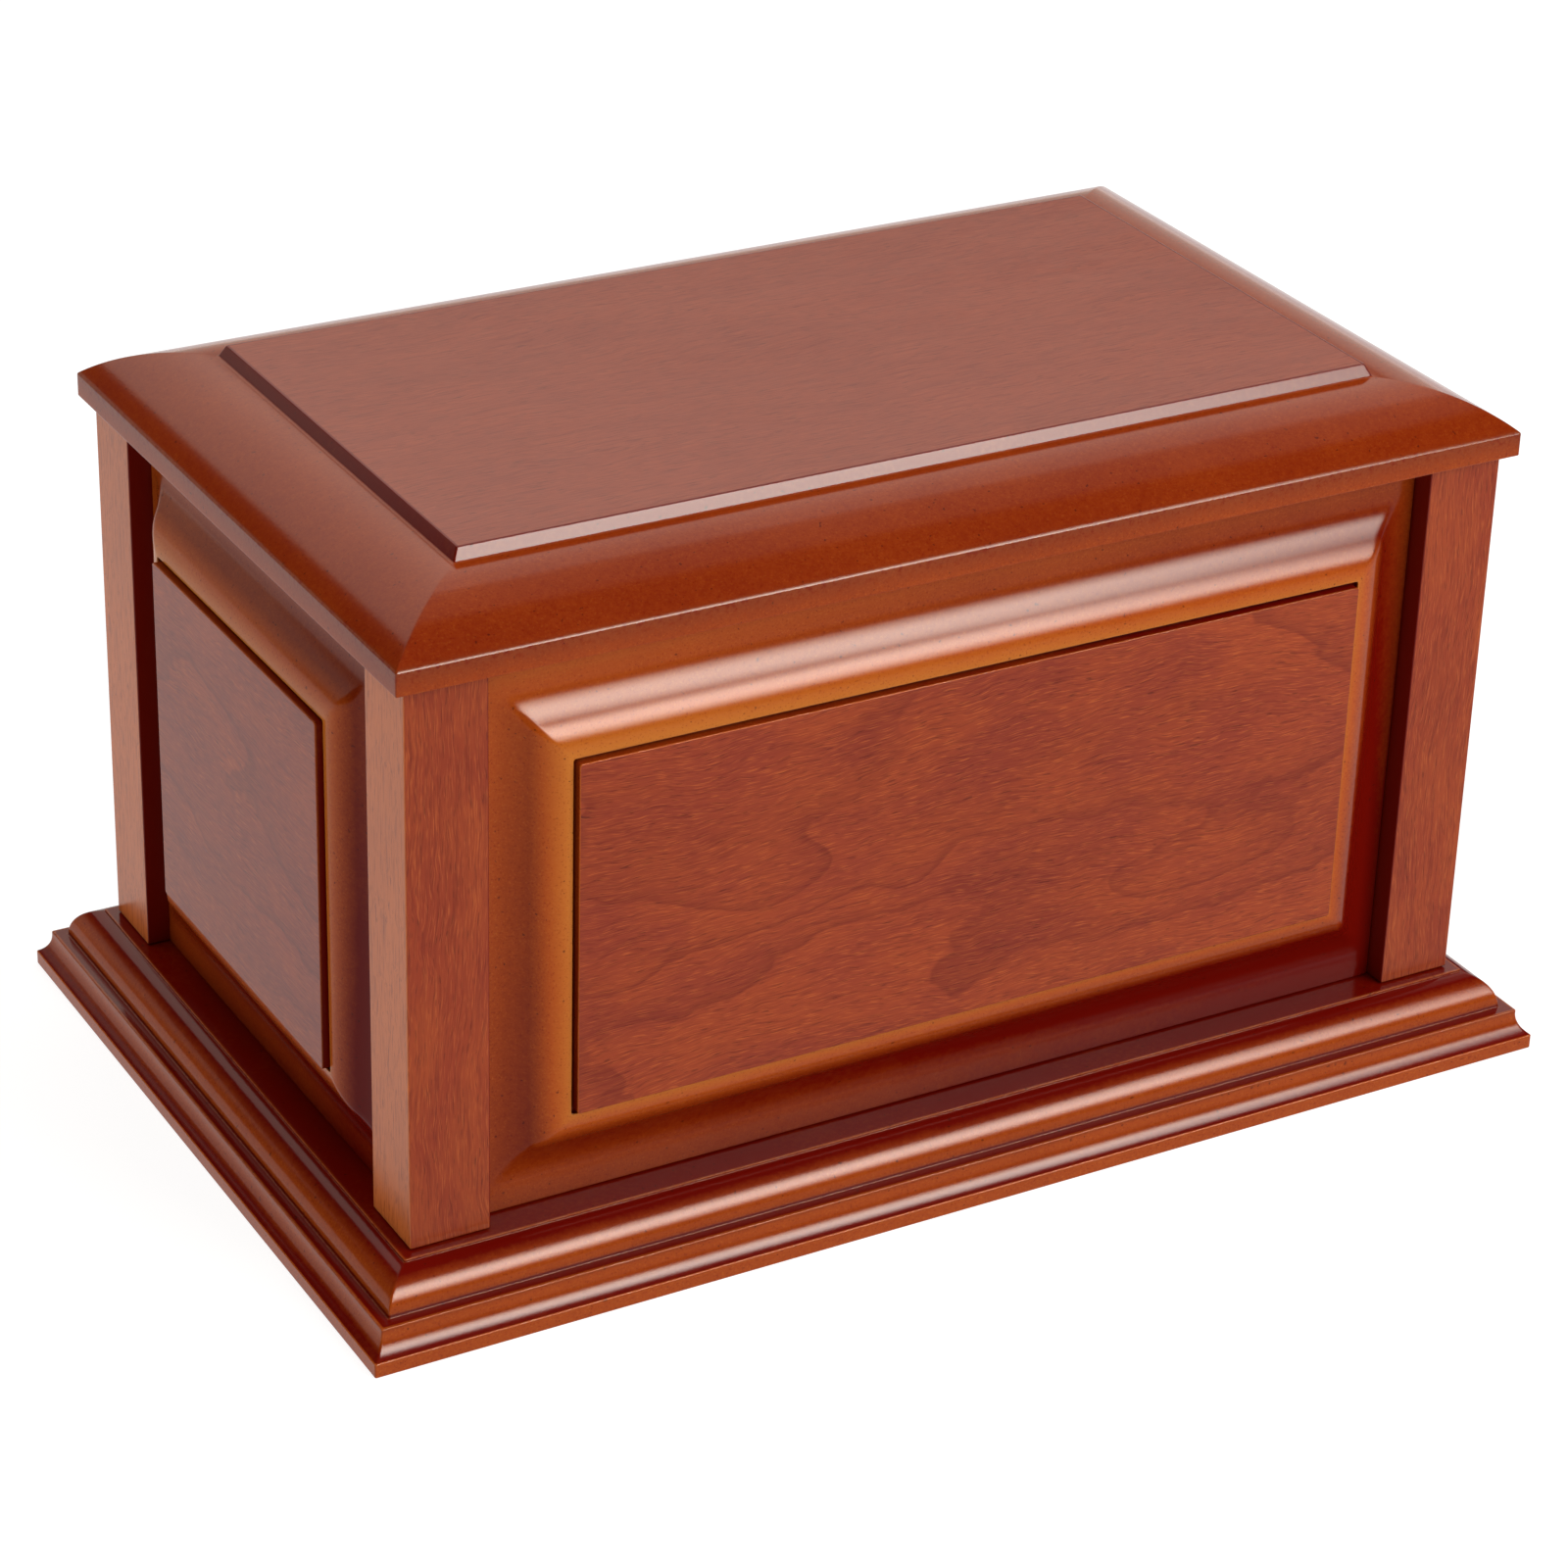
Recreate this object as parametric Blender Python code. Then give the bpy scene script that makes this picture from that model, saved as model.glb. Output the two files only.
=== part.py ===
"""A rectangular wooden cremation urn: moulded base, four corner posts, four raised panels and a lift-off lid.

Metres, +Z up. The origin is the middle of the underside; the long front looks along -Y.
The box is hollow. Pieces that touch keep a fine joint gap between them.
"""
import math

import bmesh
import bpy

for obj in list(bpy.data.objects):
    bpy.data.objects.remove(obj, do_unlink=True)

# Joints and curves
JOINT_GAP = 0.0003
CURVE_STEPS = 10

# Base board
BASE_LENGTH = 0.2840
BASE_DEPTH = 0.1840
BASE_EDGE_HEIGHT = 0.0032
BASE_COVE_RUN = 0.0028
BASE_COVE_RISE = 0.0051
BASE_COVE_FOOT_SLOPE = math.radians(34.0)
BASE_FILLET_RISE = 0.00075
BASE_LEDGE_WIDTH = 0.00285
BASE_OVOLO_RUN = 0.00655
BASE_OVOLO_RISE = 0.0075
BASE_OVOLO_TOP_SLOPE = math.radians(7.7)
BASE_TOP_RISE = 0.00055

# Corner posts
POST_SIDE = 0.0177
POST_HEIGHT = 0.12445
POST_SETBACK = 0.01465

# Panels: a flat margin, an ogee, a narrow groove and a raised field
PANEL_THICKNESS = 0.0180
PANEL_MARGIN_SETBACK = 0.0056
FIELD_PROUD_OF_POSTS = 0.0026
FRAME_WIDTH_SIDES = 0.0179
FRAME_WIDTH_TOP = 0.0226
FRAME_WIDTH_FOOT = 0.0231
OGEE_HOLLOW_RUN = 0.0064
OGEE_ROUND_RUN = 0.0073
OGEE_FOOT_SLOPE = math.radians(18.0)
OGEE_TOP_BELOW_FIELD = 0.0014
GROOVE_WIDTH = 0.0007
GROOVE_DEPTH = 0.0012

# Lid board
LID_OVERHANG = 0.0028
LID_EDGE_HEIGHT = 0.00515
LID_HIP_RUN = 0.0226
LID_HIP_RISE = 0.0080
LID_STEP_FOOT_RUN = 0.0003
LID_STEP_FOOT_RISE = 0.0002
LID_STEP_LEAN = 0.0012
LID_STEP_RISE = 0.0028
LID_STEP_ROUND = 0.0003

# Places worked out from the sizes above
BASE_HEIGHT = (BASE_EDGE_HEIGHT + BASE_COVE_RISE + BASE_FILLET_RISE
               + BASE_OVOLO_RISE + BASE_TOP_RISE)
BODY_LENGTH = BASE_LENGTH - 2 * POST_SETBACK
BODY_DEPTH = BASE_DEPTH - 2 * POST_SETBACK
BODY_FOOT = BASE_HEIGHT + JOINT_GAP
LID_FOOT = BODY_FOOT + POST_HEIGHT + JOINT_GAP
FIELD_RELIEF = PANEL_MARGIN_SETBACK + FIELD_PROUD_OF_POSTS

urn = bpy.data.collections.new("wooden_cremation_urn")
bpy.context.scene.collection.children.link(urn)


def wood(name, colour, roughness):
    """One lacquered wood material, with its clear coat."""
    material = bpy.data.materials.new(name)
    material.use_nodes = True
    shader = material.node_tree.nodes["Principled BSDF"]
    shader.inputs["Base Color"].default_value = (*colour, 1.0)
    shader.inputs["Roughness"].default_value = roughness
    shader.inputs["Metallic"].default_value = 0.0
    shader.inputs["Coat Weight"].default_value = 0.3
    shader.inputs["Coat Roughness"].default_value = 0.2
    material.diffuse_color = (*colour, 1.0)
    return material


def slab(length, depth, thickness):
    """A mesh of one flat board from z 0 upward, and its top face."""
    bm = bmesh.new()
    bmesh.ops.create_cube(bm, size=1.0)
    bmesh.ops.translate(bm, verts=bm.verts, vec=(0.0, 0.0, 0.5))
    bmesh.ops.scale(bm, verts=bm.verts, vec=(length, depth, thickness))
    bm.normal_update()
    top = max(bm.faces, key=lambda face: face.calc_center_median().z)
    return bm, top


def step_in(bm, top, run, rise):
    """Steps the top face in by run on every side and up by rise, and returns it."""
    if run > 1e-7:
        bmesh.ops.inset_region(bm, faces=[top], thickness=run, depth=0.0, use_even_offset=True)
        if rise:
            bmesh.ops.translate(bm, verts=top.verts, vec=(0.0, 0.0, rise))
        return top
    made = bmesh.ops.extrude_face_region(bm, geom=[top])
    top_verts = [item for item in made["geom"] if isinstance(item, bmesh.types.BMVert)]
    new_top = [item for item in made["geom"] if isinstance(item, bmesh.types.BMFace)][0]
    bmesh.ops.delete(bm, geom=[top], context="FACES_ONLY")
    bmesh.ops.translate(bm, verts=top_verts, vec=(0.0, 0.0, rise))
    return new_top


def follow(bm, top, profile):
    """Steps the top face along a list of (distance in, height) points."""
    for (in_a, up_a), (in_b, up_b) in zip(profile, profile[1:]):
        top = step_in(bm, top, in_b - in_a, up_b - up_a)
    return top


def cove(run, rise, foot_slope):
    """A hollow curve that starts at the foot slope and ends upright."""
    sweep = math.pi / 2 - foot_slope
    angles = [foot_slope + sweep * i / CURVE_STEPS for i in range(CURVE_STEPS + 1)]
    return [(run * (math.sin(a) - math.sin(foot_slope)) / (1.0 - math.sin(foot_slope)),
             rise * (1.0 - math.cos(a) / math.cos(foot_slope))) for a in angles]


def ovolo(run, rise, top_slope=0.0):
    """A round curve that starts upright and ends at the top slope."""
    sweep = math.pi / 2 - top_slope
    angles = [sweep * i / CURVE_STEPS for i in range(CURVE_STEPS + 1)]
    return [(run * (1.0 - math.cos(a)) / (1.0 - math.cos(sweep)),
             rise * math.sin(a) / math.sin(sweep)) for a in angles]


def hip(run, rise):
    """A circle's arc that ends level: its radius follows from its run and rise."""
    radius = (run * run + rise * rise) / (2.0 * rise)
    half = math.asin(run / radius)
    angles = [half * (1.0 - i / CURVE_STEPS) for i in range(CURVE_STEPS + 1)]
    return [(run - radius * math.sin(a), rise - radius * (1.0 - math.cos(a))) for a in angles]


def ogee(hollow_run, round_run, rise, foot_slope):
    """A hollow arc that starts at the foot slope and runs into a round arc that ends level.

    Both arcs share one slope where they meet, found by halving so that the whole makes the rise.
    """
    low, high = foot_slope, math.pi / 2
    for _ in range(50):
        meet = (low + high) / 2
        made = hollow_run * math.tan((foot_slope + meet) / 2) + round_run * math.tan(meet / 2)
        if made < rise:
            low = meet
        else:
            high = meet
    hollow_radius = hollow_run / (math.sin(meet) - math.sin(foot_slope))
    round_radius = round_run / math.sin(meet)
    run = hollow_run + round_run
    points = []
    for i in range(CURVE_STEPS + 1):
        a = foot_slope + (meet - foot_slope) * i / CURVE_STEPS
        points.append((hollow_radius * (math.sin(a) - math.sin(foot_slope)),
                       hollow_radius * (math.cos(foot_slope) - math.cos(a))))
    for i in range(1, CURVE_STEPS + 1):
        a = meet * (1.0 - i / CURVE_STEPS)
        points.append((run - round_radius * math.sin(a), rise - round_radius * (1.0 - math.cos(a))))
    return points


def finish(name, bm, material, location, rotation=(0.0, 0.0, 0.0)):
    """Closes the mesh, makes its object and puts it in its place."""
    bmesh.ops.recalc_face_normals(bm, faces=bm.faces)
    mesh = bpy.data.meshes.new(name)
    bm.to_mesh(mesh)
    bm.free()
    mesh.materials.append(material)
    obj = bpy.data.objects.new(name, mesh)
    obj.location = location
    obj.rotation_euler = rotation
    urn.objects.link(obj)
    return obj


def make_base():
    bm, top = slab(BASE_LENGTH, BASE_DEPTH, BASE_EDGE_HEIGHT)
    top = follow(bm, top, cove(BASE_COVE_RUN, BASE_COVE_RISE, BASE_COVE_FOOT_SLOPE))
    top = step_in(bm, top, 0.0, BASE_FILLET_RISE)
    top = step_in(bm, top, BASE_LEDGE_WIDTH, 0.0)
    top = follow(bm, top, ovolo(BASE_OVOLO_RUN, BASE_OVOLO_RISE, BASE_OVOLO_TOP_SLOPE))
    step_in(bm, top, 0.0, BASE_TOP_RISE)
    finish("base", bm, wood("base_wood", (0.30, 0.085, 0.028), 0.34), (0.0, 0.0, 0.0))


def make_lid():
    length = BODY_LENGTH + 2 * LID_OVERHANG
    depth = BODY_DEPTH + 2 * LID_OVERHANG
    bm, top = slab(length, depth, LID_EDGE_HEIGHT)
    top = follow(bm, top, hip(LID_HIP_RUN, LID_HIP_RISE))
    top = step_in(bm, top, LID_STEP_FOOT_RUN, LID_STEP_FOOT_RISE)
    top = step_in(bm, top, LID_STEP_LEAN, LID_STEP_RISE - LID_STEP_ROUND)
    follow(bm, top, ovolo(LID_STEP_ROUND, LID_STEP_ROUND))
    finish("lid", bm, wood("lid_wood", (0.29, 0.10, 0.055), 0.36), (0.0, 0.0, LID_FOOT))


def make_posts():
    for end, side_x in (("left", -1), ("right", 1)):
        for face, side_y in (("front", -1), ("back", 1)):
            name = f"post_{face}_{end}"
            bm, top = slab(POST_SIDE, POST_SIDE, POST_HEIGHT)
            place = (side_x * (BODY_LENGTH - POST_SIDE) / 2, side_y * (BODY_DEPTH - POST_SIDE) / 2, BODY_FOOT)
            finish(name, bm, wood(f"{name}_wood", (0.33, 0.10, 0.055), 0.38), place)


def make_panel(name, opening, quarter_turns, reach, colour):
    """A panel that fills the opening between two posts.

    It is made lying flat with its face up, then stood up and turned by quarter turns about Z.
    The reach is from the urn's middle to the posts' outer faces.
    """
    length = opening - 2 * JOINT_GAP
    bm, top = slab(length, POST_HEIGHT, PANEL_THICKNESS - FIELD_RELIEF)
    moulding = OGEE_HOLLOW_RUN + OGEE_ROUND_RUN + GROOVE_WIDTH
    flat_sides = FRAME_WIDTH_SIDES - moulding
    flat_top = FRAME_WIDTH_TOP - moulding
    flat_foot = FRAME_WIDTH_FOOT - moulding
    bmesh.ops.inset_region(bm, faces=[top], thickness=flat_sides, depth=0.0, use_even_offset=True)
    squeeze = (POST_HEIGHT - flat_top - flat_foot) / (POST_HEIGHT - 2 * flat_sides)
    bmesh.ops.scale(bm, verts=top.verts, vec=(1.0, squeeze, 1.0))
    bmesh.ops.translate(bm, verts=top.verts, vec=(0.0, (flat_foot - flat_top) / 2, 0.0))
    ogee_rise = FIELD_RELIEF - OGEE_TOP_BELOW_FIELD
    top = follow(bm, top, ogee(OGEE_HOLLOW_RUN, OGEE_ROUND_RUN, ogee_rise, OGEE_FOOT_SLOPE))
    top = step_in(bm, top, 0.0, -GROOVE_DEPTH)
    top = step_in(bm, top, GROOVE_WIDTH, 0.0)
    step_in(bm, top, 0.0, GROOVE_DEPTH + OGEE_TOP_BELOW_FIELD)
    back = reach + FIELD_PROUD_OF_POSTS - PANEL_THICKNESS
    turn = quarter_turns * math.pi / 2
    place = (math.sin(turn) * back, -math.cos(turn) * back, BODY_FOOT + POST_HEIGHT / 2)
    finish(name, bm, wood(f"{name}_wood", colour, 0.36), place, (math.pi / 2, 0.0, turn))


def main():
    make_base()
    make_posts()
    long_opening = BODY_LENGTH - 2 * POST_SIDE
    short_opening = BODY_DEPTH - 2 * POST_SIDE
    make_panel("panel_front", long_opening, 0, BODY_DEPTH / 2, (0.31, 0.09, 0.045))
    make_panel("panel_right", short_opening, 1, BODY_LENGTH / 2, (0.29, 0.09, 0.05))
    make_panel("panel_back", long_opening, 2, BODY_DEPTH / 2, (0.31, 0.09, 0.045))
    make_panel("panel_left", short_opening, -1, BODY_LENGTH / 2, (0.29, 0.10, 0.065))
    make_lid()


main()
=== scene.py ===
"""A rectangular wooden cremation urn: lacquered mouldings, cherry veneer and a plain studio."""

import math
from collections import namedtuple

import bmesh
import bpy
from mathutils import Matrix, Vector


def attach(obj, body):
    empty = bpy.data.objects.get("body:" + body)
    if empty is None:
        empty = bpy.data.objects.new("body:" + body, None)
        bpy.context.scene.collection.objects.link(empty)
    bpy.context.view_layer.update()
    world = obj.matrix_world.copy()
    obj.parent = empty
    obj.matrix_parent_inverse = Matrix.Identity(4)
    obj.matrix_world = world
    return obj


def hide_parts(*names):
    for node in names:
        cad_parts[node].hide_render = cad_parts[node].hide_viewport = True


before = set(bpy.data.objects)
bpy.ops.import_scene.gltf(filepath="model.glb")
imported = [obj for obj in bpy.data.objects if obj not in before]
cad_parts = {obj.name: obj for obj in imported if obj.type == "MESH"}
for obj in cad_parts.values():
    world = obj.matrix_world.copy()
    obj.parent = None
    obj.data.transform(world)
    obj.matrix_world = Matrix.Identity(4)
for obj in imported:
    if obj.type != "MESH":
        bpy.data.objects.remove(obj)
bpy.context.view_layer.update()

# Sizes of the boards, as in the frame
BASE_LENGTH = 0.2840
BASE_DEPTH = 0.1840
BASE_HEIGHT = 0.0171
POST_SIDE = 0.0177
POST_HEIGHT = 0.12445
POST_SETBACK = 0.01465
JOINT_GAP = 0.0003
PANEL_THICKNESS = 0.0180
FIELD_PROUD = 0.0026
FIELD_RELIEF = 0.0082
MOULDING_WIDTH = 0.0144
FRAME_SIDES = 0.0179
FRAME_TOP = 0.0226
FRAME_FOOT = 0.0231
LID_OVERHANG = 0.0028
LID_HEIGHT = 0.01615

BODY_LENGTH = BASE_LENGTH - 2 * POST_SETBACK
BODY_DEPTH = BASE_DEPTH - 2 * POST_SETBACK
BODY_FOOT = BASE_HEIGHT + JOINT_GAP
LID_FOOT = BODY_FOOT + POST_HEIGHT + JOINT_GAP


def paint(red, green, blue):
    """A colour as a painter reads it from 0 to 255, turned into light."""
    def light(value):
        share = value / 255.0
        return share / 12.92 if share <= 0.04045 else ((share + 0.055) / 1.055) ** 2.4
    return (light(red), light(green), light(blue), 1.0)


# Colours of the finish, before light falls on it
ORANGE = paint(160, 70, 18)
GOLD = paint(182, 106, 36)
MAROON = paint(96, 8, 2)
RUBBED_AND_HIGHLIGHT = paint(206, 132, 66)
PORE = paint(52, 14, 10)

# The clear coat: how strongly it bends light, how much each finish shines, and how deep its relief goes
COAT_IOR = 1.26
LACQUER_SHINE = 0.33
VENEER_SHINE = 0.40
RELIEF_DEPTH = 0.0002

Tones = namedtuple("Tones", "rose warm fleck dark")
CHERRY = Tones(paint(130, 49, 29), paint(153, 65, 27), paint(184, 92, 38), paint(92, 24, 18))
CHERRY_POST = Tones(paint(133, 50, 26), paint(156, 71, 31), paint(189, 100, 48), paint(92, 24, 16))
CHERRY_LID = Tones(paint(128, 54, 38), paint(138, 60, 38), paint(158, 76, 48), paint(92, 28, 22))


class Wire:
    """One node output. Sums written with it add Math nodes to its tree."""

    def __init__(self, bench, socket):
        self.bench = bench
        self.socket = socket

    def by(self, operation, *others):
        return self.bench.node("ShaderNodeMath", dict(enumerate((self, *others))), operation=operation)

    def turned(self, operation, other):
        return self.bench.node("ShaderNodeMath", {0: other, 1: self}, operation=operation)

    def __add__(self, other):
        return self.by("ADD", other)

    def __radd__(self, other):
        return self.turned("ADD", other)

    def __sub__(self, other):
        return self.by("SUBTRACT", other)

    def __rsub__(self, other):
        return self.turned("SUBTRACT", other)

    def __mul__(self, other):
        return self.by("MULTIPLY", other)

    def __rmul__(self, other):
        return self.turned("MULTIPLY", other)

    def __truediv__(self, other):
        return self.by("DIVIDE", other)

    def __neg__(self):
        return self.by("MULTIPLY", -1.0)

    def step(self, low, high):
        """Smoothly from 0 at low to 1 at high."""
        return self.bench.node("ShaderNodeMapRange", {0: self, 1: low, 2: high, 3: 0.0, 4: 1.0},
                               interpolation_type="SMOOTHSTEP")

    def kept(self):
        """Held between 0 and 1."""
        return self.bench.node("ShaderNodeClamp", {0: self})


class Bench:
    """A node tree, and the one way that nodes are put in it."""

    def __init__(self, tree):
        self.tree = tree

    def node(self, kind, inputs=None, out=0, **settings):
        made = self.tree.nodes.new(kind)
        for key, value in settings.items():
            setattr(made, key, value)
        for key, value in (inputs or {}).items():
            if isinstance(value, Wire):
                self.tree.links.new(value.socket, made.inputs[key])
            else:
                made.inputs[key].default_value = value
        return Wire(self, made.outputs[out])

    def vector(self, x, y, z):
        return self.node("ShaderNodeCombineXYZ", {0: x, 1: y, 2: z})

    def parts(self, vector):
        first = self.node("ShaderNodeSeparateXYZ", {0: vector})
        outputs = first.socket.node.outputs
        return [Wire(self, outputs[i]) for i in range(3)]

    def blend(self, share, first, second):
        return self.node("ShaderNodeMix", {0: share, 6: first, 7: second}, out=2, data_type="RGBA")

    def noise(self, vector, scale, detail=2.0, roughness=0.5):
        return self.node("ShaderNodeTexNoise", {"Vector": vector, "Scale": scale, "Detail": detail,
                                                "Roughness": roughness})

    def read(self, name):
        return self.node("ShaderNodeAttribute", out="Fac", attribute_name=name)


def new_material(name, shine):
    """A coated surface: its bench, and the shader with its steady values."""
    material = bpy.data.materials.new(name)
    material.use_nodes = True
    shader = material.node_tree.nodes["Principled BSDF"]
    shader.inputs["IOR"].default_value = COAT_IOR
    shader.inputs["Specular IOR Level"].default_value = shine
    return material, Bench(material.node_tree), shader


def finish_surface(bench, shader, colour, rough, relief, strength):
    """Joins colour, roughness and relief to the shader."""
    bench.tree.links.new(colour.socket, shader.inputs["Base Color"])
    bench.tree.links.new(rough.socket, shader.inputs["Roughness"])
    bump = bench.node("ShaderNodeBump", {"Strength": strength, "Distance": RELIEF_DEPTH, "Height": relief})
    bench.tree.links.new(bump.socket, shader.inputs["Normal"])


def board_place(bench, shift):
    """The place on the flat-lying board, moved so that no two boards share a pattern."""
    board = bench.node("ShaderNodeAttribute", out="Vector", attribute_name="board")
    return bench.node("ShaderNodeMapping", {"Vector": board, "Location": shift})


def lacquer(name, shift, darkening=(0.0, 0.0)):
    """Glaze over stain: dark maroon where it pooled, gold where it was wiped thin, pale on worn arrises. The
    dark maroon is also painted shade and painted dark reflection in hollows, ledges and grooves, and the pale
    edges are partly a painted highlight line.

    The last argument is how much darker the colour gets for each metre along the board and up it.
    """
    material, bench, shader = new_material(name, LACQUER_SHINE)
    place = board_place(bench, shift)
    x, y, _ = bench.parts(place)
    glaze, rubbed = bench.read("glaze"), bench.read("rubbed")
    clouds = bench.noise(place, 42.0, 3.0, 0.55)
    grit = bench.noise(place, 760.0, 2.0, 0.65)
    dust = bench.noise(place, 2300.0, 1.0, 0.5)
    pinhole = bench.noise(place, 1150.0, 0.0)
    # The colour darkens with the glaze values, which are partly real pooled glaze and partly painted shade in
    # recesses, and with clouds, grit and a slope along the board.
    depth = glaze + (clouds - 0.5) * 0.30 + (grit - 0.5) * 0.30
    depth = depth + (x - shift[0]) * darkening[0] + (y - shift[1]) * darkening[1]
    colour = bench.blend(depth.kept(), ORANGE, MAROON)
    colour = bench.blend((-depth).kept(), colour, GOLD)
    colour = bench.blend(dust.step(0.56, 0.78) * 0.30 * (1.0 - depth.kept()), colour, GOLD)
    colour = bench.blend(dust.step(0.42, 0.24) * 0.40, colour, MAROON)
    colour = bench.blend(pinhole.step(0.21, 0.16) * 0.60, colour, PORE)
    # A pale colour on edges: partly real wear on arrises, partly a painted highlight line, also in concave
    # fillets.
    colour = bench.blend(rubbed * grit.step(0.30, 0.58) * 0.12, colour, RUBBED_AND_HIGHLIGHT)
    rough = 0.11 + clouds * 0.03 + dust * 0.04 - rubbed * 0.03
    finish_surface(bench, shader, colour, rough, dust * 0.5 + grit, 0.05)
    return material


def veneer(name, shift, tones, along=0, figure=1.0, mottle=0.55, fleck=0.5,
           swirls=(), shaded_sides=None, painted_sheen_ends=0.0):
    """Cherry veneer: short bright fibres, soft clouds, pores and the dark edges of growth rings.

    along is the board's own axis that the grain runs along: 0 for its length, 2 for its height.
    figure, mottle and fleck are the strengths of the rings, the clouds and the bright fibres.
    swirls are places (x, y, reach along, reach across, height) where the rings close round an eye.
    inner gives a post's two sides that face a panel; they are painted dark maroon, a painted shade in the
    recess.
    painted_sheen_ends is how much paler a post's sides that look along X are painted: a painted sheen of the
    light they reflect at a grazing angle.
    """
    material, bench, shader = new_material(name, VENEER_SHINE)
    place = board_place(bench, shift)
    x, y, z = bench.parts(place)
    own_x, own_y = x - shift[0], y - shift[1]
    if along == 2:
        x, y, z = z, x, y
    flow = bench.noise(bench.vector(x * 9.0, y * 26.0, z * 26.0), 1.0, 1.0)
    ripple = bench.noise(bench.vector(x * 70.0, y * 95.0, z * 95.0), 1.0, 2.0)
    across = y + (flow - 0.5) * 0.016 + (ripple - 0.5) * 0.0030
    fibre = bench.noise(bench.vector(x * 260.0, across * 5600.0, z * 5600.0), 1.0, 1.0, 0.5)
    strand = bench.noise(bench.vector(x * 90.0, across * 2100.0, z * 2100.0), 1.0, 2.0, 0.6)
    pores = bench.noise(bench.vector(x * 330.0, across * 4800.0, z * 4800.0), 1.0, 0.0)
    clouds = bench.noise(bench.vector(x * 40.0, across * 90.0, z * 90.0), 1.0, 2.0, 0.5)
    patch = bench.noise(bench.vector(x * 15.0, y * 34.0, z * 34.0), 1.0, 1.0)
    rings = flow * 4.4 + y * 34.0 + (ripple - 0.5) * 0.62
    for at_x, at_y, wide, high, height in swirls:
        far_x, far_y = (own_x - at_x) / wide, (own_y - at_y) / high
        rings = rings + (-(far_x * far_x + far_y * far_y)).by("EXPONENT") * height
    turn = rings.by("FRACT")
    line = turn.step(0.0, 0.04) * turn.step(0.20, 0.04) * patch.step(0.28, 0.56)
    shade = turn.step(0.0, 0.04) * turn.step(0.75, 0.04)
    colour = bench.blend(clouds.step(0.30, 0.70) * mottle, tones.rose, tones.warm)
    if shaded_sides:
        edge = POST_SIDE / 2
        side_x, side_y = own_x * shaded_sides[0], own_y * shaded_sides[1]
        starts, full = edge - 0.0004, edge - 0.0001
        painted_shade = side_x.step(starts, full).by("MAXIMUM", side_y.step(starts, full))
        outer = (-side_x).step(edge - 0.0002, edge - 0.00005)
        # Paler colour on the sides that look along X: painted sheen.
        colour = bench.blend(outer * painted_sheen_ends, colour, tones.fleck)
    colour = bench.blend(patch.step(0.56, 0.38) * 0.25 * mottle, colour, tones.dark)
    colour = bench.blend(strand.step(0.54, 0.30) * 0.42, colour, tones.dark)
    colour = bench.blend(fibre.step(0.52, 0.74) * fleck, colour, tones.fleck)
    colour = bench.blend((line * 0.28 + shade * 0.15) * figure, colour, tones.dark)
    colour = bench.blend(pores.step(0.30, 0.22) * 0.45, colour, PORE)
    if shaded_sides:
        # Dark maroon on the sides facing a panel: painted shade in the recess.
        colour = bench.blend(painted_shade * 0.94, colour, MAROON)
    rough = 0.15 + clouds * 0.03 + fibre * 0.05
    finish_surface(bench, shader, colour, rough, fibre + pores * 0.5, 0.08)
    return material


# A station is one point of a moulding's section. Glaze runs from -1, wiped to gold, through 0 to 1, dark
# maroon. The dark end is partly real glaze pooled in the hollows and partly painted shade and painted dark
# reflection, laid into hollows, ledges, grooves and inner corners. Soft is the reach of a small round, rubbed
# how pale it is made, partly real wear on arrises and partly a painted highlight line, also in concave
# fillets, frame whether the margins push it in, and ease how much of the corner radius its ring takes.
EASED = 0.25
Station = namedtuple("Station", "inset height glaze soft rubbed frame ease", defaults=(0.0, 0.0, 0.0, EASED))

# A small round has this many flats, and a ring of support this many softnesses away on either side
ROUND_FLATS = 5
SUPPORT_REACH = 1.8
# The support beside a board's corners, the glaze on its underside and the angle that stays a crisp edge
CORNER_SUPPORT = 0.0012
UNDERSIDE_GLAZE = 0.4
CRISP_ANGLE = math.radians(23.0)


def between(stops, at):
    """A value read off a list of (place, value) stops."""
    for (place_a, value_a), (place_b, value_b) in zip(stops, stops[1:]):
        if at <= place_b:
            return value_a + (value_b - value_a) * (at - place_a) / (place_b - place_a)
    return stops[-1][1]


def arcs(start, bends, glaze, ease=((0.0, EASED), (1.0, EASED)), steps=16, **same):
    """Stations along arcs that run into each other, from a start (inset, height).

    A bend is (run, slope it starts at, slope it ends at), the slopes in degrees from the flat. Glaze and
    ease are read off stops along the whole.
    """
    points = [start]
    for run, slope_a, slope_b in bends:
        a, b = math.radians(slope_a), math.radians(slope_b)
        radius = run / (math.sin(b) - math.sin(a))
        from_x, from_z = points[-1]
        for i in range(1, steps + 1):
            here = a + (b - a) * i / steps
            points.append((from_x + radius * (math.sin(here) - math.sin(a)),
                           from_z + radius * (math.cos(a) - math.cos(here))))
    last = len(points) - 1
    return [Station(x, z, between(glaze, i / last), ease=between(ease, i / last), **same)
            for i, (x, z) in enumerate(points)]


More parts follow.
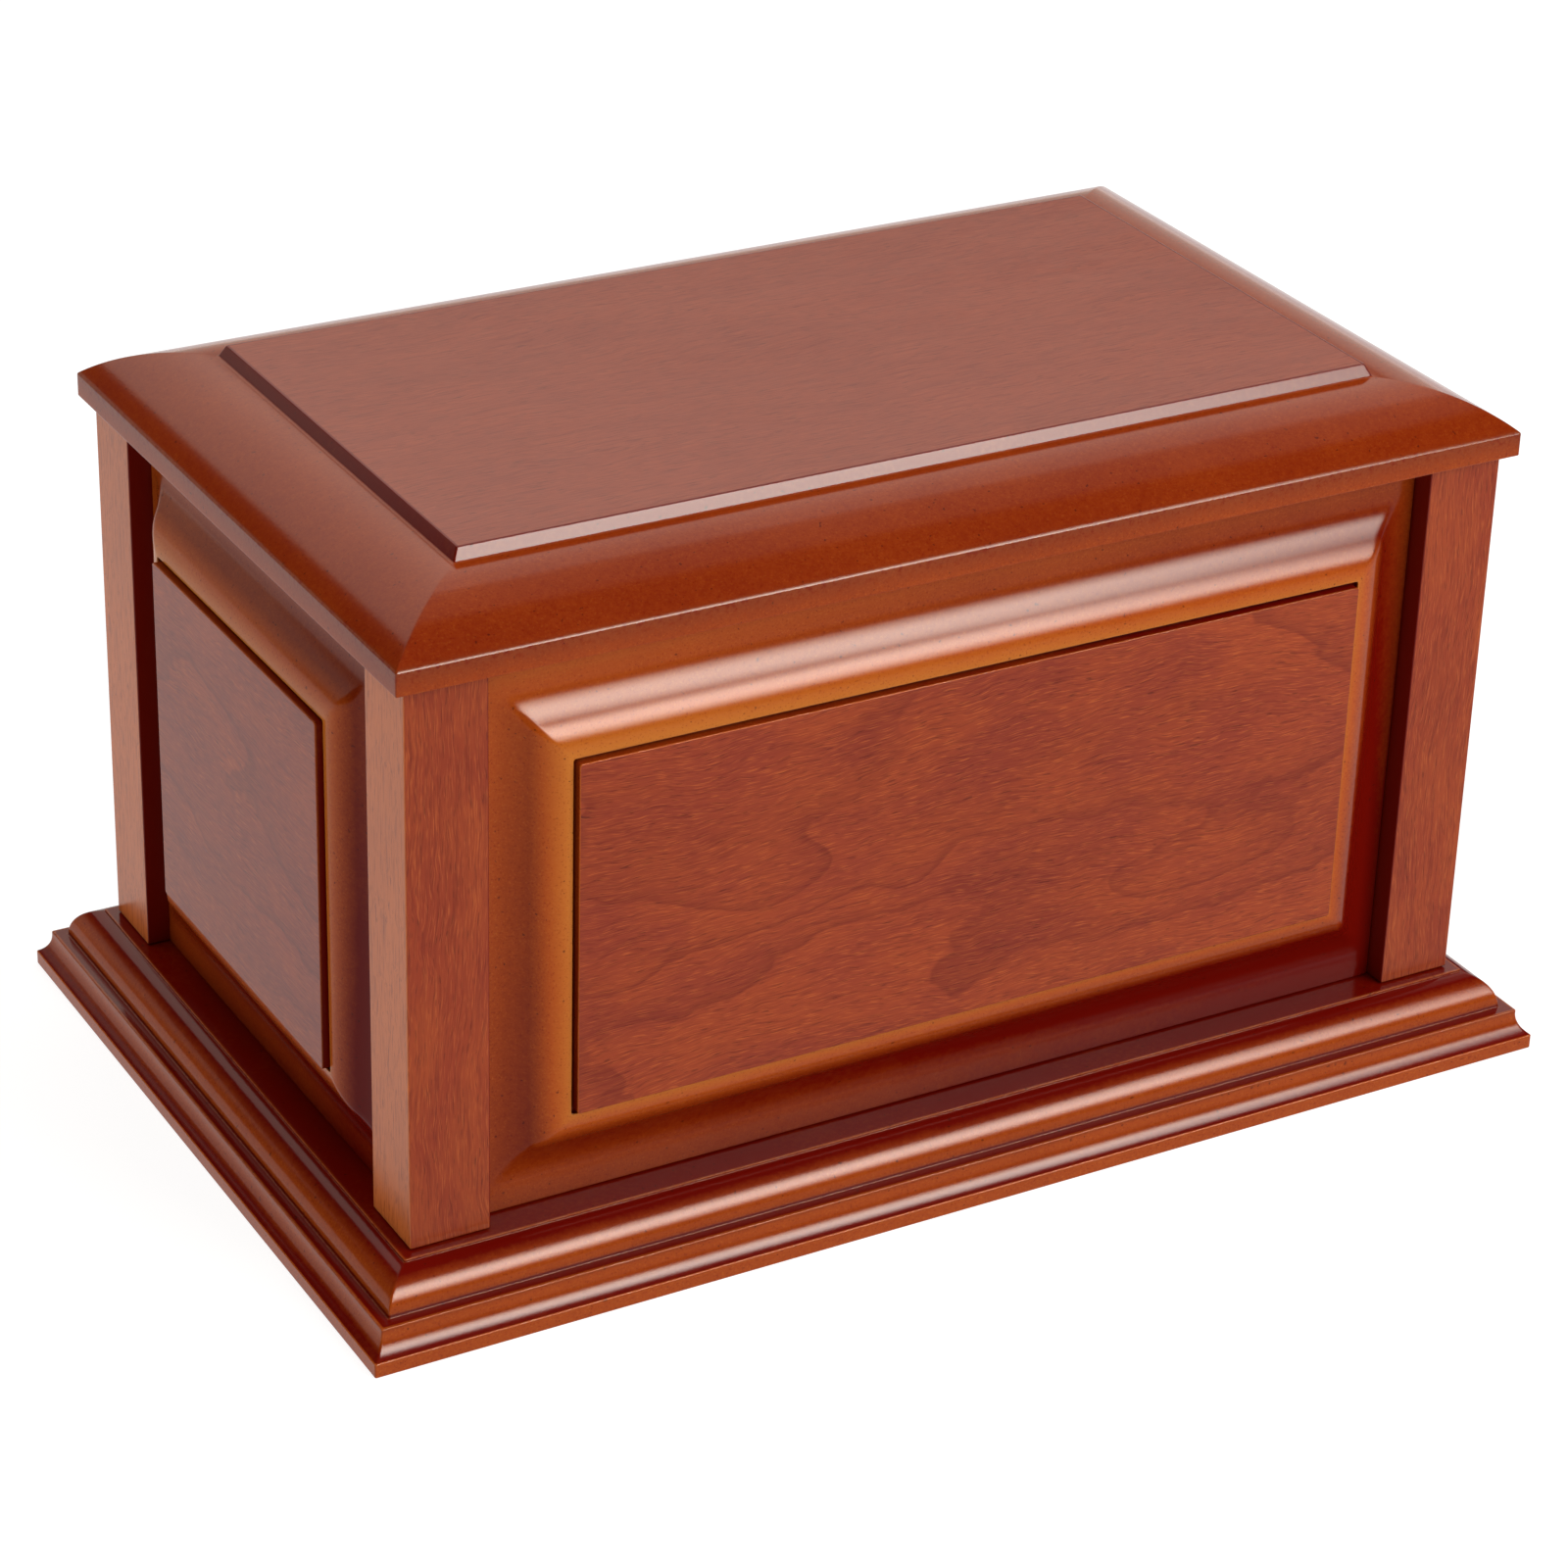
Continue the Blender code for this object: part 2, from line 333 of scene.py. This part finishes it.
def soften(stations):
    """Turns each corner with a softness into a small round, with a ring of support on either side."""
    made = []
    for i, here in enumerate(stations):
        if not here.soft:
            made.append(here)
            continue
        arms = []
        for other in (stations[i - 1], stations[i + 1]):
            gap = math.hypot(other.inset - here.inset, other.height - here.height)
            arms.append(((other.inset - here.inset) / gap, (other.height - here.height) / gap))
        (ax, ay), (bx, by) = arms
        flat = here.soft * SUPPORT_REACH
        made.append(here._replace(inset=here.inset + ax * flat, height=here.height + ay * flat, rubbed=0.0))
        for k in range(ROUND_FLATS + 1):
            u, v = (1 - k / ROUND_FLATS) ** 2 * here.soft, (k / ROUND_FLATS) ** 2 * here.soft
            made.append(here._replace(inset=here.inset + ax * u + bx * v,
                                      height=here.height + ay * u + by * v))
        made.append(here._replace(inset=here.inset + bx * flat, height=here.height + by * flat, rubbed=0.0))
    return made


def ring_place(bench, sizes, corner, round_off, inset, height, share, ease):
    """Where a ring of the moulding lies: the outline drawn in by the inset, with its corners eased."""
    corner_x, corner_y, _ = bench.parts(corner)
    round_x, round_y, _ = bench.parts(round_off)
    x = corner_x * (sizes["Length"] * 0.5 - inset - share * sizes["Side margin"]) + round_x * ease
    y = corner_y * (sizes["Depth"] * 0.5 - inset - share * sizes["End margin"]) + round_y * ease
    return bench.vector(x, y + share * sizes["Centre shift"], height)


def moulded_board_tree():
    """Sweeps a section round a rectangle with mitred corners and closes it above and below."""
    tree = bpy.data.node_groups.new("Moulded board", "GeometryNodeTree")
    bench = Bench(tree)
    numbers = {"Length": 0.2, "Depth": 0.1, "Side margin": 0.0, "End margin": 0.0, "Centre shift": 0.0,
               "Corner radius": 0.001, "Foot inset": 0.0, "Foot ease": EASED, "Top inset": 0.0,
               "Top height": 0.0, "Top frame": 0.0, "Top ease": EASED, "Top glaze": 0.0, "Veneer from": 1.0}
    wanted = [("Section", "NodeSocketGeometry", None), ("Corner steps", "NodeSocketInt", 4)]
    wanted += [(name, "NodeSocketFloat", value) for name, value in numbers.items()]
    wanted += [(name, "NodeSocketVector", (0.0, 0.0, 0.0)) for name in ("Turn", "Place")]
    wanted += [(name, "NodeSocketMaterial", None) for name in ("Lacquer", "Veneer")]
    for name, kind, value in wanted:
        socket = tree.interface.new_socket(name=name, in_out="INPUT", socket_type=kind)
        if value is not None:
            socket.default_value = value
    tree.interface.new_socket(name="Board", in_out="OUTPUT", socket_type="NodeSocketGeometry")
    entry = tree.nodes.new("NodeGroupInput")
    sizes = {name: Wire(bench, entry.outputs[name]) for name, _, _ in wanted}

    def store(geometry, name, value, kind="FLOAT_VECTOR"):
        return bench.node("GeometryNodeStoreNamedAttribute",
                          {"Geometry": geometry, "Name": name, "Value": value},
                          data_type=kind, domain="POINT")

    def read(name, kind="FLOAT_VECTOR"):
        return bench.node("GeometryNodeInputNamedAttribute", {"Name": name}, data_type=kind)

    # Each corner has the points of its arc and one more on either side
    steps = sizes["Corner steps"]
    each = steps + 3.0
    index = bench.node("GeometryNodeInputIndex")
    quarter = (index / each).by("FLOOR")
    along = index - quarter * each
    arc = ((along - 1.0) / steps).kept()
    angle = (quarter + arc) * (math.pi / 2)
    middle = (quarter + 0.5) * (math.pi / 2)
    cosine, sine = angle.by("COSINE"), angle.by("SINE")
    corner_x, corner_y = middle.by("COSINE").by("SIGN"), middle.by("SINE").by("SIGN")
    beside = along.by("GREATER_THAN", each - 1.5) - along.by("LESS_THAN", 0.5)
    radius = sizes["Corner radius"]
    ease_x = radius * (cosine - corner_x) - beside * sine * CORNER_SUPPORT
    ease_y = radius * (sine - corner_y) + beside * cosine * CORNER_SUPPORT

    path = bench.node("GeometryNodeCurvePrimitiveCircle", {"Resolution": each * 4.0, "Radius": 1.0},
                      mode="RADIUS")
    path = store(path, "corner", bench.vector(corner_x, corner_y, 0.0))
    path = store(path, "round_off", bench.vector(ease_x, ease_y, 0.0))
    section = bench.node("GeometryNodeMeshToCurve", {"Mesh": sizes["Section"]})
    section = store(section, "section", bench.node("GeometryNodeInputPosition"))
    band = bench.node("GeometryNodeCurveToMesh", {"Curve": path, "Profile Curve": section})
    inset, height, _ = bench.parts(read("section"))
    corner, round_off = read("corner"), read("round_off")
    band = bench.node("GeometryNodeSetPosition", {"Geometry": band, "Position": ring_place(
        bench, sizes, corner, round_off, inset, height, read("frame", "FLOAT"), read("ease", "FLOAT"))})

    def cap(inset_in, level, share_in, ease_in, glaze_in):
        ring = bench.node("GeometryNodeSetPosition", {"Geometry": path, "Position": ring_place(
            bench, sizes, corner, round_off, inset_in, 0.0, share_in, ease_in)})
        face = bench.node("GeometryNodeFillCurve", {"Curve": ring}, mode="NGONS")
        face = bench.node("GeometryNodeTransform", {
            "Geometry": face, "Translation": bench.vector(0.0, 0.0, level)})
        face = store(face, "glaze", glaze_in, "FLOAT")
        return store(face, "section", bench.vector(inset_in, level, 0.0))

    top = cap(sizes["Top inset"], sizes["Top height"], sizes["Top frame"], sizes["Top ease"],
              sizes["Top glaze"])
    foot = cap(sizes["Foot inset"], 0.0, 0.0, sizes["Foot ease"], UNDERSIDE_GLAZE)
    foot = bench.node("GeometryNodeFlipFaces", {"Mesh": foot})
    whole = tree.nodes.new("GeometryNodeJoinGeometry")
    for piece in (band, top, foot):
        tree.links.new(piece.socket, whole.inputs[0])
    whole = bench.node("GeometryNodeMergeByDistance", {
        "Geometry": Wire(bench, whole.outputs[0]), "Distance": 0.00001})
    whole = store(whole, "board", bench.node("GeometryNodeInputPosition"))
    whole = bench.node("GeometryNodeTransform", {
        "Geometry": whole, "Translation": sizes["Place"], "Rotation": sizes["Turn"]})
    whole = bench.node("GeometryNodeRealizeInstances", {"Geometry": whole})
    whole = bench.node("GeometryNodeSetMaterial", {"Geometry": whole, "Material": sizes["Lacquer"]})
    how_far, _, _ = bench.parts(read("section"))
    whole = bench.node("GeometryNodeSetMaterial", {
        "Geometry": whole, "Selection": how_far.by("GREATER_THAN", sizes["Veneer from"]),
        "Material": sizes["Veneer"]})
    leaving = tree.nodes.new("NodeGroupOutput")
    tree.links.new(whole.socket, leaving.inputs[0])
    return tree


BOARD_TREE = moulded_board_tree()


def make_board(node, stations, **sizes):
    """Draws the section, sweeps it and hands the finished board to its node."""
    stations = soften(stations)
    line = bpy.data.meshes.new(f"{node}_section")
    line.from_pydata([(s.inset, s.height, 0.0) for s in stations],
                     [(i, i + 1) for i in range(len(stations) - 1)], [])
    for name in ("glaze", "rubbed", "frame", "ease"):
        values = line.attributes.new(name, "FLOAT", "POINT")
        values.data.foreach_set("value", [getattr(s, name) for s in stations])
    holder = bpy.data.objects.new(f"{node}_section", line)
    bpy.context.scene.collection.objects.link(holder)
    foot, top = stations[0], stations[-1]
    sizes.update(Foot_inset=foot.inset, Foot_ease=foot.ease, Top_inset=top.inset, Top_height=top.height,
                 Top_frame=top.frame, Top_ease=top.ease, Top_glaze=top.glaze)
    modifier = holder.modifiers.new("Moulded board", "NODES")
    modifier.node_group = BOARD_TREE
    for item in BOARD_TREE.interface.items_tree:
        key = item.name.replace(" ", "_")
        if item.in_out == "INPUT" and key in sizes:
            modifier[item.identifier] = sizes[key]
    shape = bpy.data.meshes.new_from_object(holder.evaluated_get(bpy.context.evaluated_depsgraph_get()))
    bpy.data.objects.remove(holder, do_unlink=True)
    for name in ("section", "corner", "round_off", "frame", "ease"):
        if name in shape.attributes:
            shape.attributes.remove(shape.attributes[name])
    whole = bmesh.new()
    whole.from_mesh(shape)
    bmesh.ops.recalc_face_normals(whole, faces=whole.faces)
    for face in whole.faces:
        face.smooth = True
    whole.to_mesh(shape)
    whole.free()
    shape.set_sharp_from_angle(angle=CRISP_ANGLE)
    piece = bpy.data.objects.new(f"{node}_board", shape)
    bpy.context.scene.collection.objects.link(piece)
    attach(piece, "root")
    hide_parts(node)


def make_base():
    # The glaze values here are partly painted shade and painted dark reflection: dark maroon at the foot of
    # the hollow, on the ledge, towards the top of the round-over and on the top where the body stands. The
    # pale marks on the concave fillets are painted highlight lines, those on the arrises partly wear and
    # partly highlight lines.
    bottom = [Station(0.002, 0.0, 0.4), Station(0.0, 0.0, 0.2, soft=0.0003),
              Station(0.0, 0.0032, 0.2, soft=0.00015, rubbed=1.0)]
    hollow = arcs((0.0, 0.0032), ((0.0028, 32.5, 90.0),),
                  ((0.0, 1.0), (0.3, 1.0), (0.55, 0.5), (0.85, 0.2), (1.0, 0.3)), steps=20)
    ledge = [Station(0.0028, 0.00905, 0.5, soft=0.0003, rubbed=1.0), Station(0.0036, 0.00905, 1.2),
             Station(0.00565, 0.00905, 1.2, soft=0.00025, rubbed=0.6)]
    round_over = arcs((0.00565, 0.00905), ((0.00655, 90.0, 7.7),),
                      ((0.0, 0.6), (0.12, 0.25), (0.35, 0.3), (0.6, 0.7), (0.8, 1.1), (1.0, 1.2)), steps=24)
    top = [Station(0.0122, 0.01655, 1.1, soft=0.00014, rubbed=0.6),
           Station(0.0122, BASE_HEIGHT, 0.6, soft=0.00014, rubbed=1.0), Station(0.0128, BASE_HEIGHT, 1.0)]
    finish = lacquer("base_lacquer", (0.0, 0.0, 0.0))
    make_board("base", bottom + hollow[1:] + ledge + round_over[2:-1] + top,
               Length=BASE_LENGTH, Depth=BASE_DEPTH, Corner_radius=0.0014, Lacquer=finish, Veneer=finish)


def make_lid():
    # The glaze values grow to dark maroon at the foot of the step and at the field's edge: a painted shadow
    # line under the step and a painted dark reflection line at the edge. The pale front arris is partly wear
    # and partly a painted highlight line.
    edge = [Station(0.002, 0.0, 0.4), Station(0.0, 0.0, 0.4, soft=0.0003),
            Station(0.0, 0.00498, 0.9, rubbed=1.0), Station(0.00014, 0.00526, 0.9, rubbed=1.0)]
    slope = arcs((0.0, 0.00515), ((0.0224, 40.9, 0.0), (0.0006, 0.0, 38.0)),
                 ((0.0, 0.68), (0.05, 0.72), (0.3, 0.64), (0.6, 0.55), (0.9, 0.55), (0.97, 0.9), (1.0, 1.2)),
                 steps=24)
    step = arcs((0.0230, 0.01368), ((0.00115, 64.5, 62.5), (0.00025, 62.5, 0.0)),
                ((0.0, 1.0), (1.0, 1.0)), steps=6)
    field = [Station(0.0244, LID_HEIGHT, 1.2), Station(0.0247, LID_HEIGHT, 1.0)]
    make_board("lid", edge + slope[1:] + step[1:-1] + field, Length=BODY_LENGTH + 2 * LID_OVERHANG,
               Depth=BODY_DEPTH + 2 * LID_OVERHANG, Place=(0.0, 0.0, LID_FOOT), Veneer_from=0.0246,
               Lacquer=lacquer("lid_lacquer", (0.9, 0.2, 0.1)),
               Veneer=veneer("lid_veneer", (1.3, 0.4, 0.0), CHERRY_LID, figure=0.3, mottle=0.35, fleck=0.35))


def make_posts():
    out_x, out_y = (BODY_LENGTH - POST_SIDE) / 2, (BODY_DEPTH - POST_SIDE) / 2
    for face, side_y in (("front", -1), ("back", 1)):
        for end, side_x in (("left", -1), ("right", 1)):
            node = f"post_{face}_{end}"
            stations = [Station(0.001, 0.0, 0.0), Station(0.0, 0.0, 0.0, soft=0.0003),
                        Station(0.0, POST_HEIGHT, 0.0, soft=0.0003), Station(0.001, POST_HEIGHT, 0.0)]
            shift = (0.7 * side_x, 0.5 * side_y, 0.3 * side_x + 0.1 * side_y)
            # The sides facing the panels get painted shade.
            finish = veneer(f"{node}_veneer", shift, CHERRY_POST, along=2, figure=0.15, mottle=0.45,
                            # The sides looking along X get a painted sheen.
                            fleck=0.35, shaded_sides=(-side_x, -side_y), painted_sheen_ends=1.0)
            make_board(node, stations, Length=POST_SIDE, Depth=POST_SIDE, Veneer_from=-1.0,
                       Place=(side_x * out_x, side_y * out_y, BODY_FOOT), Lacquer=finish, Veneer=finish)


def make_panel(side, opening, quarter_turns, reach, shift, swirls):
    node = f"panel_{side}"
    # The hollow starts so softly that the margin lies a little higher than the plain solid's
    margin = PANEL_THICKNESS - FIELD_RELIEF + 0.0006
    crest = PANEL_THICKNESS - 0.0014
    # The glaze values here are partly painted shade: darker on the margin beside the posts, in the middle of
    # the hollow and in the groove round the field. The pale crest and field arrises are partly wear and partly
    # painted highlight lines.
    outer = [Station(0.002, 0.0, 0.6), Station(0.0, 0.0, 0.6, soft=0.0003),
             Station(0.0, margin, 0.6, soft=0.0002), Station(0.0006, margin, 0.5),
             Station(-0.0027, margin, 0.45, frame=1.0, ease=1.0)]
    moulding = arcs((-0.0026, margin), ((0.0049, 0.0, 22.5), (0.0041, 22.5, 40.5), (0.0073, 40.5, 0.0)),
                    ((0.0, 0.5), (0.3, 0.75), (0.6, 0.85), (0.72, 0.55), (0.82, 0.2), (0.92, -0.2),
                     (1.0, -0.7)),
                    ((0.0, 1.0), (0.6, 0.8), (1.0, 0.2)), frame=1.0)
    lip, wall, groove_floor = 0.0137, MOULDING_WIDTH, crest - 0.0012
    groove = [Station(lip, crest, -0.8, soft=0.00015, rubbed=0.8, frame=1.0),
              Station(lip, crest - 0.0004, 1.0, frame=1.0), Station(lip, groove_floor, 1.0, frame=1.0),
              Station(wall, groove_floor, 1.0, frame=1.0),
              Station(wall, PANEL_THICKNESS - 0.0005, 1.0, frame=1.0),
              Station(wall, PANEL_THICKNESS, 0.5, soft=0.00018, rubbed=1.0, frame=1.0),
              Station(wall + 0.0008, PANEL_THICKNESS, 0.5, frame=1.0)]
    turn = quarter_turns * math.pi / 2
    back = reach + FIELD_PROUD - PANEL_THICKNESS
    make_board(node, outer + moulding[:-1] + groove, Length=opening - 2 * JOINT_GAP, Depth=POST_HEIGHT,
               Side_margin=FRAME_SIDES - MOULDING_WIDTH,
               End_margin=(FRAME_TOP + FRAME_FOOT) / 2 - MOULDING_WIDTH,
               Centre_shift=(FRAME_FOOT - FRAME_TOP) / 2,
               Corner_radius=0.0022, Veneer_from=0.01465, Turn=(math.pi / 2, 0.0, turn),
               Place=(math.sin(turn) * back, -math.cos(turn) * back, BODY_FOOT + POST_HEIGHT / 2),
               # The panels' colour is made darker along the board's length towards one end and towards its
               # foot.
               Lacquer=lacquer(f"{node}_lacquer", shift, (3.0, -5.0)),
               Veneer=veneer(f"{node}_veneer", shift, CHERRY, swirls=swirls))


def make_panels():
    long_opening = BODY_LENGTH - 2 * POST_SIDE
    short_opening = BODY_DEPTH - 2 * POST_SIDE
    eyes = ((-0.048, 0.001, 0.020, 0.011, 1.1), (-0.016, -0.004, 0.009, 0.005, 0.7),
            (-0.086, -0.007, 0.013, 0.007, 0.9), (0.050, -0.018, 0.034, 0.008, 1.2))
    back_eye = (0.030, 0.006, 0.020, 0.010, 2.0)
    make_panel("front", long_opening, 0, BODY_DEPTH / 2, (0.31, 0.17, 0.0), eyes)
    make_panel("right", short_opening, 1, BODY_LENGTH / 2, (0.87, 0.53, 0.4), ())
    make_panel("back", long_opening, 2, BODY_DEPTH / 2, (1.61, 0.29, 0.8), (back_eye,))
    make_panel("left", short_opening, -1, BODY_LENGTH / 2, (2.17, 0.71, 1.2), ())


def add_card(name, place, aim, wide, high, power, diffuse=True, glossy=True, colour=(1.0, 0.95, 0.88)):
    """A soft rectangular lamp at a place, turned to face a point."""
    lamp = bpy.data.lights.new(name, "AREA")
    lamp.shape = "RECTANGLE"
    lamp.size = wide
    lamp.size_y = high
    lamp.energy = power
    lamp.color = colour
    card = bpy.data.objects.new(name, lamp)
    card.location = place
    away = [a - b for a, b in zip(place, aim)]
    yaw = math.atan2(away[0], -away[1])
    rise = math.atan2(away[2], math.hypot(away[0], away[1]))
    card.rotation_euler = (math.pi / 2 - rise, 0.0, yaw)
    card.visible_camera = False
    card.visible_diffuse = diffuse
    card.visible_glossy = glossy
    bpy.context.scene.collection.objects.link(card)


def set_studio():
    """A plain pale floor, soft lamps at the front right and above, and dim warm cards behind for the sheen."""
    floor_mesh = bpy.data.meshes.new("studio_floor")
    floor = bmesh.new()
    bmesh.ops.create_grid(floor, x_segments=2, y_segments=2, size=6.0)
    floor.to_mesh(floor_mesh)
    floor.free()
    floor_object = bpy.data.objects.new("studio_floor", floor_mesh)
    paper = bpy.data.materials.new("studio_paper")
    paper.use_nodes = True
    shader = paper.node_tree.nodes["Principled BSDF"]
    shader.inputs["Base Color"].default_value = (0.28, 0.28, 0.28, 1.0)
    shader.inputs["Roughness"].default_value = 0.9
    shader.inputs["Specular IOR Level"].default_value = 0.0
    shader.inputs["Emission Color"].default_value = (1.0, 1.0, 1.0, 1.0)
    shader.inputs["Emission Strength"].default_value = 0.83
    floor_mesh.materials.append(paper)
    bpy.context.scene.collection.objects.link(floor_object)

    sky = bpy.data.worlds.new("studio_air")
    sky.use_nodes = True
    sky.node_tree.nodes["Background"].inputs["Color"].default_value = (1.0, 1.0, 1.0, 1.0)
    sky.node_tree.nodes["Background"].inputs["Strength"].default_value = 0.25
    sky.cycles_visibility.glossy = False
    bpy.context.scene.world = sky
    bpy.context.scene.view_settings.view_transform = "Standard"

    aim = (0.0, 0.0, 0.08)
    add_card("front_lamp", (0.62, -1.05, 0.80), aim, 0.80, 0.85, 14.0, glossy=False)
    # One lamp that is brightest in its middle: cards of falling size, each a little before the last
    sizes = ((1.62, 1.60), (1.40, 1.32), (1.17, 1.06), (0.95, 0.80), (0.67, 0.52))
    for ring, (wide, high) in enumerate(sizes):
        nearer = 1.0 - 0.01 * ring
        place = (0.89 * nearer, -1.92 * nearer, 1.27 * nearer)
        add_card(f"front_sheen_{ring}", place, (0.0, -0.08, 0.08), wide, high, 31.0 * wide * high,
                 diffuse=False, colour=(0.95, 0.95, 0.85))
    add_card("top_lamp", (0.0, 0.2, 1.9), aim, 2.6, 2.6, 34.0, glossy=False)
    warm = (1.0, 0.94, 0.82)
    add_card("back_card", (0.2, 1.9, 0.45), aim, 3.6, 0.90, 9.6, diffuse=False, colour=warm)
    add_card("middle_card", (0.8, 1.6, 1.50), aim, 3.4, 1.12, 26.0, diffuse=False, colour=warm)
    add_card("high_card", (0.45, 0.9, 1.96), aim, 2.6, 0.84, 7.0, diffuse=False, colour=warm)


def set_camera():
    lens = bpy.data.cameras.new("camera")
    lens.sensor_width = 36.0
    lens.lens = 105.84
    lens.clip_start = 0.01
    viewer = bpy.data.objects.new("camera", lens)
    azimuth, elevation, roll = math.radians(-29.9417), math.radians(27.6378), math.radians(1.7351)
    right = Vector((math.cos(azimuth), math.sin(azimuth), 0.0))
    toward = Vector((math.sin(azimuth) * math.cos(elevation), -math.cos(azimuth) * math.cos(elevation),
                     math.sin(elevation)))
    up = toward.cross(right)
    turned_right = right * math.cos(roll) + up * math.sin(roll)
    turned_up = up * math.cos(roll) - right * math.sin(roll)
    viewer.rotation_euler = Matrix((turned_right, turned_up, toward)).transposed().to_euler()
    viewer.location = (-0.449536, -0.780180, 0.527829)
    bpy.context.scene.collection.objects.link(viewer)
    bpy.context.scene.camera = viewer


set_camera()
make_base()
make_posts()
make_panels()
make_lid()
set_studio()
